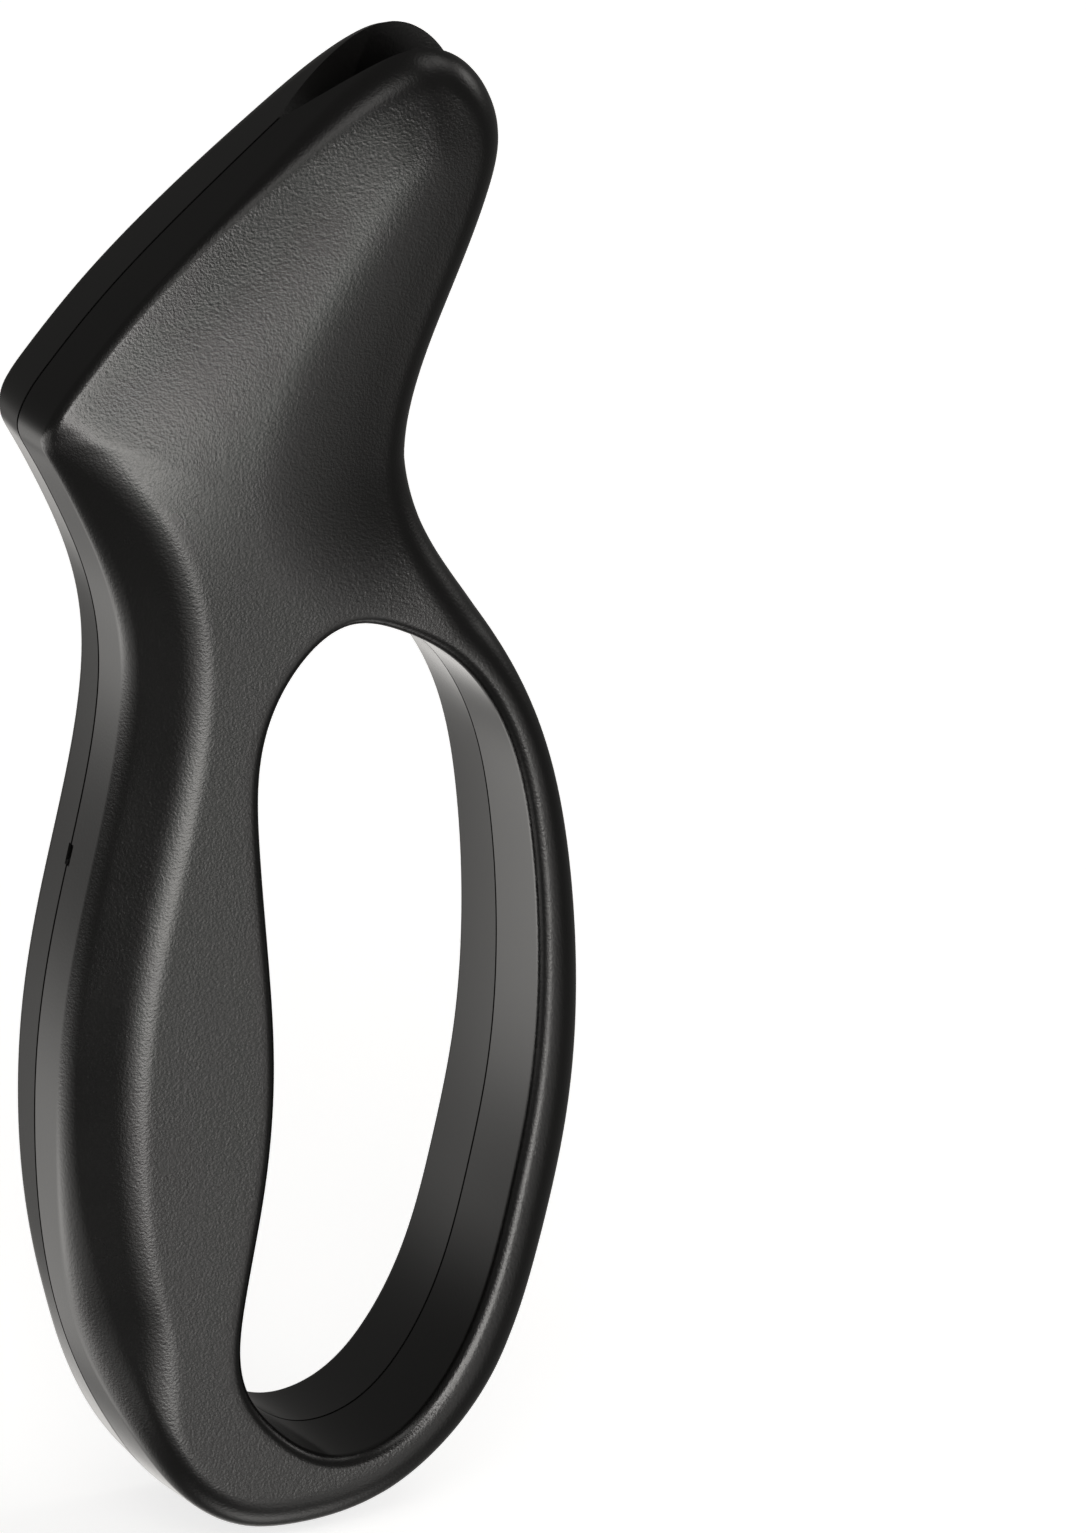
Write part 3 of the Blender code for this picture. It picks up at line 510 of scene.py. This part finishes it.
def shell(name, form, mouth, rise):
    spot = mouth @ Vector((0.0, 0.0, -CLAMP_DEPTH))
    clamp = (spot.x, spot.z)
    body = ring_body(name, form.skin(), form.face, FACE_STEP, rise)
    cut(body, [hollow(form, mouth, rise)])
    cut(body, mouth_tools(mouth) + [pry_tool(form)])
    cut(body, front_holes(form, clamp) if rise < 0 else rear_holes(form, clamp))
    if rise > 0:
        pins = [prism("pin", circle(PIN_RADIUS), -PIN_LENGTH, PIN_LENGTH, through_y(centre))
                for centre in form.place(PIN_BOSSES)]
        cut(body, pins, "UNION")
    body.data.shade_smooth()
    body.data.set_sharp_from_angle(angle=math.radians(32.0))
    return body


# Materials


def node(tree, kind, **values):
    """A node with its properties set by name, and its inputs by a list of (socket, value or link) pairs."""
    made = tree.nodes.new(kind)
    inputs = values.pop("inputs", [])
    for name, value in values.items():
        setattr(made, name, value)
    for socket, value in inputs:
        if isinstance(value, bpy.types.NodeSocket):
            tree.links.new(value, made.inputs[socket])
        else:
            made.inputs[socket].default_value = value
    return made


def principled(name):
    made = bpy.data.materials.new(name)
    made.use_nodes = True
    return made, made.node_tree, made.node_tree.nodes["Principled BSDF"]


def ramp(tree, value, stops):
    made = node(tree, "ShaderNodeValToRGB", inputs=[("Fac", value)])
    points = made.color_ramp.elements
    while len(points) < len(stops):
        points.new(0.5)
    for point, (place, level) in zip(points, stops):
        point.position = place
        point.color = (level, level, level, 1.0)
    return made.outputs["Color"]


def noise(tree, coords, scale, detail=2.0, roughness=0.5):
    made = node(tree, "ShaderNodeTexNoise", inputs=[("Vector", coords), ("Scale", scale), ("Detail", detail),
                                                    ("Roughness", roughness)])
    return made.outputs["Fac"]


def math_node(tree, operation, a, b=0.0, clamp=False):
    made = node(tree, "ShaderNodeMath", operation=operation, use_clamp=clamp, inputs=[(0, a), (1, b)])
    return made.outputs[0]


def black_abs():
    """Injection-moulded ABS: spark-eroded grain on the faces, smoother side walls, uneven polish."""
    made, tree, shader = principled("black_abs_moulded")
    coords = node(tree, "ShaderNodeTexCoord").outputs["Object"]
    normal = node(tree, "ShaderNodeNewGeometry").outputs["Normal"]
    facing = node(tree, "ShaderNodeSeparateXYZ", inputs=[(0, normal)]).outputs["Y"]
    facing = math_node(tree, "ABSOLUTE", facing)
    grained = ramp(tree, facing, [(0.10, 0.0), (0.38, 1.0)])
    coarse = noise(tree, coords, 3600.0, 2.0, 0.55)
    fine = noise(tree, coords, 7000.0, 1.0, 0.5)
    grain = math_node(tree, "ADD", coarse, math_node(tree, "MULTIPLY", fine, 0.35))
    mask = math_node(tree, "ADD", math_node(tree, "MULTIPLY", grained, 0.85), 0.15)
    height = math_node(tree, "MULTIPLY", grain, mask)
    waves = noise(tree, coords, 60.0, 1.0, 0.4)
    soft = node(tree, "ShaderNodeBump", inputs=[("Strength", 0.25), ("Distance", 0.00010), ("Height", waves)])
    bump = node(tree, "ShaderNodeBump", inputs=[("Strength", 1.0), ("Distance", 0.000028), ("Height", height),
                                                ("Normal", soft.outputs["Normal"])])
    tree.links.new(bump.outputs["Normal"], shader.inputs["Normal"])
    patches = noise(tree, coords, 90.0, 3.0, 0.6)
    rough = math_node(tree, "ADD", math_node(tree, "MULTIPLY", patches, 0.08), 0.13)
    rough = math_node(tree, "ADD", rough, math_node(tree, "MULTIPLY", grained, 0.09))
    tree.links.new(rough, shader.inputs["Roughness"])
    tint = node(tree, "ShaderNodeMix", data_type="RGBA", inputs=[("Factor", patches)])
    tint.inputs["A"].default_value = (0.0040, 0.0039, 0.0038, 1.0)
    tint.inputs["B"].default_value = (0.0062, 0.0060, 0.0058, 1.0)
    tree.links.new(tint.outputs["Result"], shader.inputs["Base Color"])
    shader.inputs["IOR"].default_value = 1.53
    return made


def metal(name, low, high, rough_low, rough_high, streak, streak_scale, bump_depth):
    """Turned, pressed or ground metal: directional streaks, speckle and uneven polish."""
    made, tree, shader = principled(name)
    coords = node(tree, "ShaderNodeTexCoord").outputs["Object"]
    stretched = node(tree, "ShaderNodeMapping",
                     inputs=[("Vector", coords), ("Scale", streak)]).outputs["Vector"]
    lines = noise(tree, stretched, streak_scale, 3.0, 0.6)
    patches = noise(tree, coords, 700.0, 3.0, 0.6)
    tint = node(tree, "ShaderNodeMix", data_type="RGBA", inputs=[("Factor", patches)])
    tint.inputs["A"].default_value = (*low, 1.0)
    tint.inputs["B"].default_value = (*high, 1.0)
    tree.links.new(tint.outputs["Result"], shader.inputs["Base Color"])
    rough = math_node(tree, "ADD", math_node(tree, "MULTIPLY", lines, rough_high - rough_low), rough_low)
    tree.links.new(rough, shader.inputs["Roughness"])
    bump = node(tree, "ShaderNodeBump",
                inputs=[("Strength", 0.6), ("Distance", bump_depth), ("Height", lines)])
    tree.links.new(bump.outputs["Normal"], shader.inputs["Normal"])
    shader.inputs["Metallic"].default_value = 1.0
    return made


def nylon():
    """Glass-filled nylon: matt, with a fine fibrous mottle."""
    made, tree, shader = principled("carrier_nylon_filled")
    coords = node(tree, "ShaderNodeTexCoord").outputs["Object"]
    fibres = node(tree, "ShaderNodeMapping",
                  inputs=[("Vector", coords), ("Scale", (1.0, 5.0, 1.0))]).outputs["Vector"]
    mottle = noise(tree, fibres, 2200.0, 3.0, 0.65)
    tint = node(tree, "ShaderNodeMix", data_type="RGBA", inputs=[("Factor", mottle)])
    tint.inputs["A"].default_value = (0.028, 0.028, 0.031, 1.0)
    tint.inputs["B"].default_value = (0.055, 0.055, 0.060, 1.0)
    tree.links.new(tint.outputs["Result"], shader.inputs["Base Color"])
    rough = math_node(tree, "ADD", math_node(tree, "MULTIPLY", mottle, 0.25), 0.38)
    tree.links.new(rough, shader.inputs["Roughness"])
    bump = node(tree, "ShaderNodeBump",
                inputs=[("Strength", 0.7), ("Distance", 0.00002), ("Height", mottle)])
    tree.links.new(bump.outputs["Normal"], shader.inputs["Normal"])
    return made


def paint(names, made):
    for name in names:
        mesh_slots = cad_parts[name].material_slots
        for slot in mesh_slots:
            slot.material = made


# The object

form = Form()
mouth = mouth_frame(form)
abs_look = black_abs()
for name, rise in (("front_shell", -1.0), ("rear_shell", 1.0)):
    piece = shell(name + "_moulding", form, mouth, rise)
    piece.data.materials.clear()
    piece.data.materials.append(abs_look)
    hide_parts(name)
    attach(piece, "handle")

paint(["carrier_left", "carrier_right"], nylon())
paint(["carbide_blade_left", "carbide_blade_right"],
      metal("ground_carbide", (0.24, 0.245, 0.26), (0.36, 0.365, 0.38),
            0.18, 0.42, (1.0, 1.0, 14.0), 900.0, 6e-6))
paint(["cartridge_rivet_front", "cartridge_rivet_rear"],
      metal("rivet_steel_pressed", (0.42, 0.42, 0.43), (0.60, 0.60, 0.61),
            0.25, 0.50, (1.0, 1.0, 1.0), 2500.0, 8e-6))
paint(["clamp_screw", "clamp_washer", "clamp_nut"],
      metal("zinc_plated_steel", (0.46, 0.48, 0.52), (0.64, 0.65, 0.66),
            0.22, 0.46, (1.0, 3.0, 1.0), 2000.0, 8e-6))
paint(["case_screw_head", "case_screw_neck", "case_screw_palm_upper", "case_screw_palm_lower",
       "case_screw_heel"],
      metal("black_oxide_steel", (0.018, 0.018, 0.020), (0.050, 0.050, 0.054),
            0.25, 0.50, (1.0, 3.0, 1.0), 2000.0, 8e-6))


# Camera, floor and light

AZIMUTH = math.radians(-24.5)
ELEVATION = math.radians(21.2)
LENS = 1000.0
SENSOR = 36.0
FIELD = 147.8 * MM
AIM_RIGHT = 24.39 * MM
AIM_UP = 2.27 * MM


def studio_camera(form):
    """Long-lens camera at the viewing angle; the aim is set off from the outline grid's own centre."""
    back = Vector((math.sin(AZIMUTH) * math.cos(ELEVATION), -math.cos(AZIMUTH) * math.cos(ELEVATION),
                   math.sin(ELEVATION)))
    data = bpy.data.cameras.new("camera")
    data.lens = LENS
    data.sensor_width = SENSOR
    data.clip_start = 0.05
    data.clip_end = 60.0
    camera = bpy.data.objects.new("camera", data)
    bpy.context.scene.collection.objects.link(camera)
    turn = (-back).to_track_quat("-Z", "Y")
    camera.rotation_mode = "QUATERNION"
    camera.rotation_quaternion = turn
    x, z = form.place([(0.0, 0.0)])[0]
    aim = Vector((x, 0.0, z)) + turn @ Vector((AIM_RIGHT, AIM_UP, 0.0))
    camera.location = aim + back * (FIELD * LENS / SENSOR)
    bpy.context.scene.camera = camera


studio_camera(form)


# Each softbox: the direction it stands in, how bright it is, and how sharply it ends
SOFTBOXES = [
    ((-0.38, -0.90, 0.22), 14.0, 120.0),
    ((-0.27, -0.96, 0.06), 10.0, 120.0),
    ((-0.12, -0.98, -0.12), 8.0, 120.0),
    ((0.03, -0.97, -0.21), 8.0, 120.0),
    ((0.17, -0.94, -0.28), 7.0, 120.0),
    ((-0.26, -0.92, -0.30), 1.6, 42.0),
    ((0.38, -0.85, -0.36), 0.5, 42.0),
    ((-0.30, -0.62, 0.73), 2.2, 42.0),
    ((0.92, -0.04, 0.38), 2.4, 42.0),
    ((0.50, -0.10, 0.86), 1.6, 42.0),
    ((-0.69, 0.54, -0.49), 3.0, 42.0),
    ((-0.83, 0.31, -0.46), 2.3, 42.0),
    ((-0.91, 0.06, -0.40), 1.3, 42.0),
    ((-0.34, 0.70, -0.62), 1.3, 42.0),
    ((-0.54, 0.78, -0.32), 0.9, 42.0),
    ((-0.84, -0.25, -0.49), 0.8, 42.0),
    ((0.45, -0.68, -0.58), 1.0, 42.0),
    ((0.29, -0.10, -0.95), 1.3, 42.0),
    ((0.08, -0.09, -0.99), 1.0, 42.0),
    ((0.25, 0.80, -0.54), 1.2, 42.0),
]
ROOM_LIGHT = 0.12


def studio_light():
    """A dim room with soft boxes round it, each one fading out from its middle."""
    world = bpy.data.worlds.new("studio")
    world.use_nodes = True
    tree = world.node_tree
    direction = node(tree, "ShaderNodeTexCoord").outputs["Generated"]
    total = ROOM_LIGHT
    for place, level, focus in SOFTBOXES:
        towards = Vector(place).normalized()
        facing = node(tree, "ShaderNodeVectorMath", operation="DOT_PRODUCT",
                      inputs=[(0, direction), (1, towards)]).outputs["Value"]
        fade = math_node(tree, "MULTIPLY", math_node(tree, "SUBTRACT", facing, 1.0), focus)
        glow = math_node(tree, "MULTIPLY", math_node(tree, "EXPONENT", fade), level)
        total = math_node(tree, "ADD", glow, total)
    tree.nodes["Background"].inputs["Color"].default_value = (1.0, 0.98, 0.95, 1.0)
    tree.links.new(total, tree.nodes["Background"].inputs["Strength"])
    bpy.context.scene.world = world


def floor():
    """A white sweep that glows faintly, so the object's own shade on it stays light."""
    def edit(work):
        bmesh.ops.create_grid(work, x_segments=24, y_segments=24, size=20.0)
    obj = new_object("floor", edit)
    made, tree, shader = principled("pale_floor")
    coords = node(tree, "ShaderNodeTexCoord").outputs["Object"]
    mottle = noise(tree, coords, 3.0, 2.0, 0.5)
    tint = node(tree, "ShaderNodeMix", data_type="RGBA", inputs=[("Factor", mottle)])
    tint.inputs["A"].default_value = (0.90, 0.90, 0.90, 1.0)
    tint.inputs["B"].default_value = (0.93, 0.93, 0.93, 1.0)
    tree.links.new(tint.outputs["Result"], shader.inputs["Base Color"])
    shader.inputs["Roughness"].default_value = 0.9
    shader.inputs["Emission Color"].default_value = (1.0, 1.0, 1.0, 1.0)
    shader.inputs["Emission Strength"].default_value = 0.72
    obj.visible_glossy = False
    obj.visible_diffuse = False
    obj.data.materials.append(made)


floor()
studio_light()
bpy.context.scene.view_settings.view_transform = "Standard"
